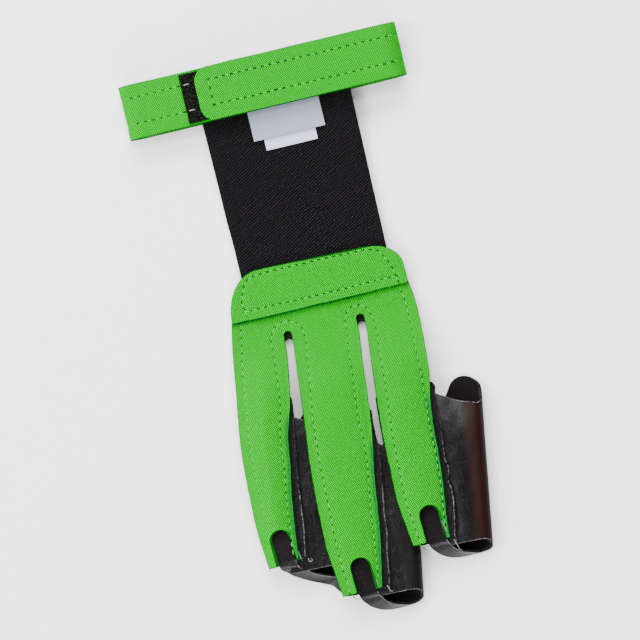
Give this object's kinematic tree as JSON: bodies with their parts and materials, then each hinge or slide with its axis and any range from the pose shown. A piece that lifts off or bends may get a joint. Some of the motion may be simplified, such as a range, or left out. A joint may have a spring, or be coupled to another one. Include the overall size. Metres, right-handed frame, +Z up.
{
  "type": "archery glove",
  "caption": "Three-finger archery glove lying palm down: woven back strips over leather finger stalls, elastic back panel and a closed hook-and-loop wrist strap.",
  "frame": {"origin": "under the middle of the glove's box, on the surface that it lies on", "axes": "+X across the back of the hand to the right, +Y from the fingertips to the wrist strap, +Z up out of the back of the hand"},
  "size_m": [0.1076, 0.2164, 0.0128],
  "materials": {
    "strap_cloth": "bright green coated pack cloth, fine weave",
    "back_cloth": "bright green pack cloth, plain weave with light dots",
    "elastic": "black woven elastic with a diagonal rib, dull",
    "lining": "black, dull",
    "hook_tape": "black hook tape",
    "label_satin": "white satin ribbon, bare",
    "label_plain": "white ribbon, bare",
    "stall_leather": "black smooth leather, semi-gloss, raw edges pale"
  },
  "bodies": {
    "root": {"wrist_strap": "strap_cloth", "hook_patch": "hook_tape", "back_panel": "elastic", "label_large": "label_satin", "label_small": "label_plain", "yoke": "back_cloth", "finger_back": "back_cloth", "finger_lining": "lining", "stall_left": "stall_leather", "stall_middle": "stall_leather", "stall_right": "stall_leather"}
  },
  "joints": []
}
